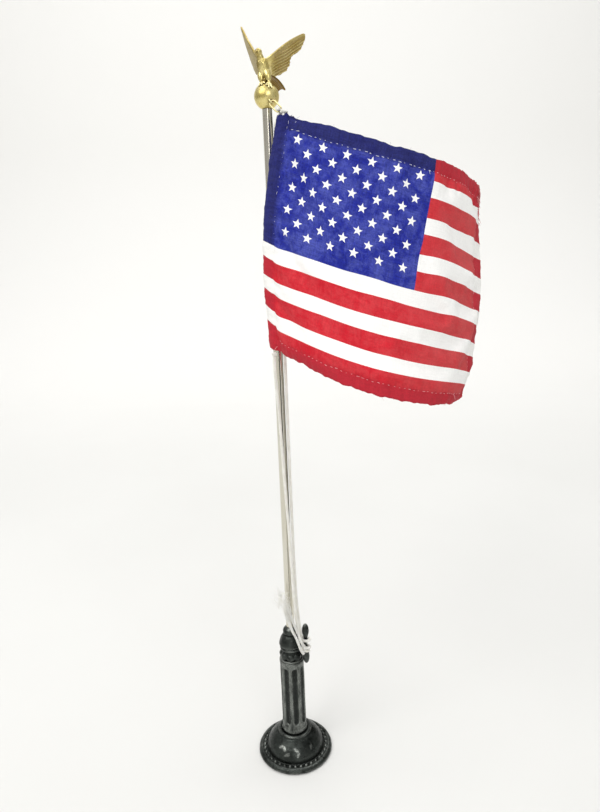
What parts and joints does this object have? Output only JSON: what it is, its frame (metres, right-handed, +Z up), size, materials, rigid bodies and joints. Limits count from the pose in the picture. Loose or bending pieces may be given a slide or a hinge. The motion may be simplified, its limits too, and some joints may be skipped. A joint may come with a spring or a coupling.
{
  "type": "table flagpole",
  "caption": "Table-top flagpole on a weighted round cast foot with a fluted column, plated pole, winged finial, cleated halyard and a small striped flag.",
  "frame": {"origin": "centre of the foot on the table", "axes": "+Z up along the pole, +X towards the fly of the flag, -Y the front of the flag"},
  "size_m": [0.1196, 0.0673, 0.3661],
  "materials": {
    "cast_dark": "dark patina, rubbed on the edges",
    "plated_tube": "warm bright plate",
    "gilt": "satin gilt",
    "screw_steel": "zinc plated",
    "cord": "twisted white cord",
    "thread": "white sewing thread",
    "cloth_red": "printed plain weave",
    "cloth_blue": "printed plain weave",
    "cloth_white": "printed plain weave",
    "felt": "pressed wool felt"
  },
  "bodies": {
    "stand": {"felt_pad": "felt", "base_foot": "cast_dark", "tie_screw": "screw_steel", "lock_washer": "screw_steel", "column": "cast_dark", "capital": "cast_dark", "pole_collar": "cast_dark", "cleat": "cast_dark", "pole": "plated_tube", "finial_pin": "screw_steel", "finial_ball": "gilt", "eagle": "gilt", "halyard_eye": "gilt", "return_line": "cord", "hoist_line_upper": "cord", "hoist_line_lower": "cord", "cleat_hitch": "cord", "halyard_tails": "cord"},
    "ring": {"jump_ring": "gilt"},
    "hoist_carrier": {"upper_knot": "cord", "lower_knot": "cord"},
    "flag": {"sleeve_cord": "cord", "hoist_sleeve": "cloth_blue", "flag_cloth": "cloth_red", "hem_thread": "thread"}
  },
  "joints": [
    {"name": "flag_hoist", "type": "slide", "parent": "stand", "child": "hoist_carrier", "axis": [0, 0, -1], "range_m": [0, 0.118], "deforming": ["hoist_line_lower", "hoist_line_upper"]},
    {"name": "flag_swing", "type": "hinge", "parent": "hoist_carrier", "child": "flag", "pos_m": [0.00316, -0.00866, 0.27822], "axis": [0.0926, 0.0107, 0.9956], "range_deg": [-20, 35]},
    {"name": "ring_swing", "type": "hinge", "parent": "stand", "child": "ring", "pos_m": [0.00196, -0.00523, 0.3343], "axis": [0.6579, 0, 0.7531], "range_deg": [-5, 5]}
  ]
}
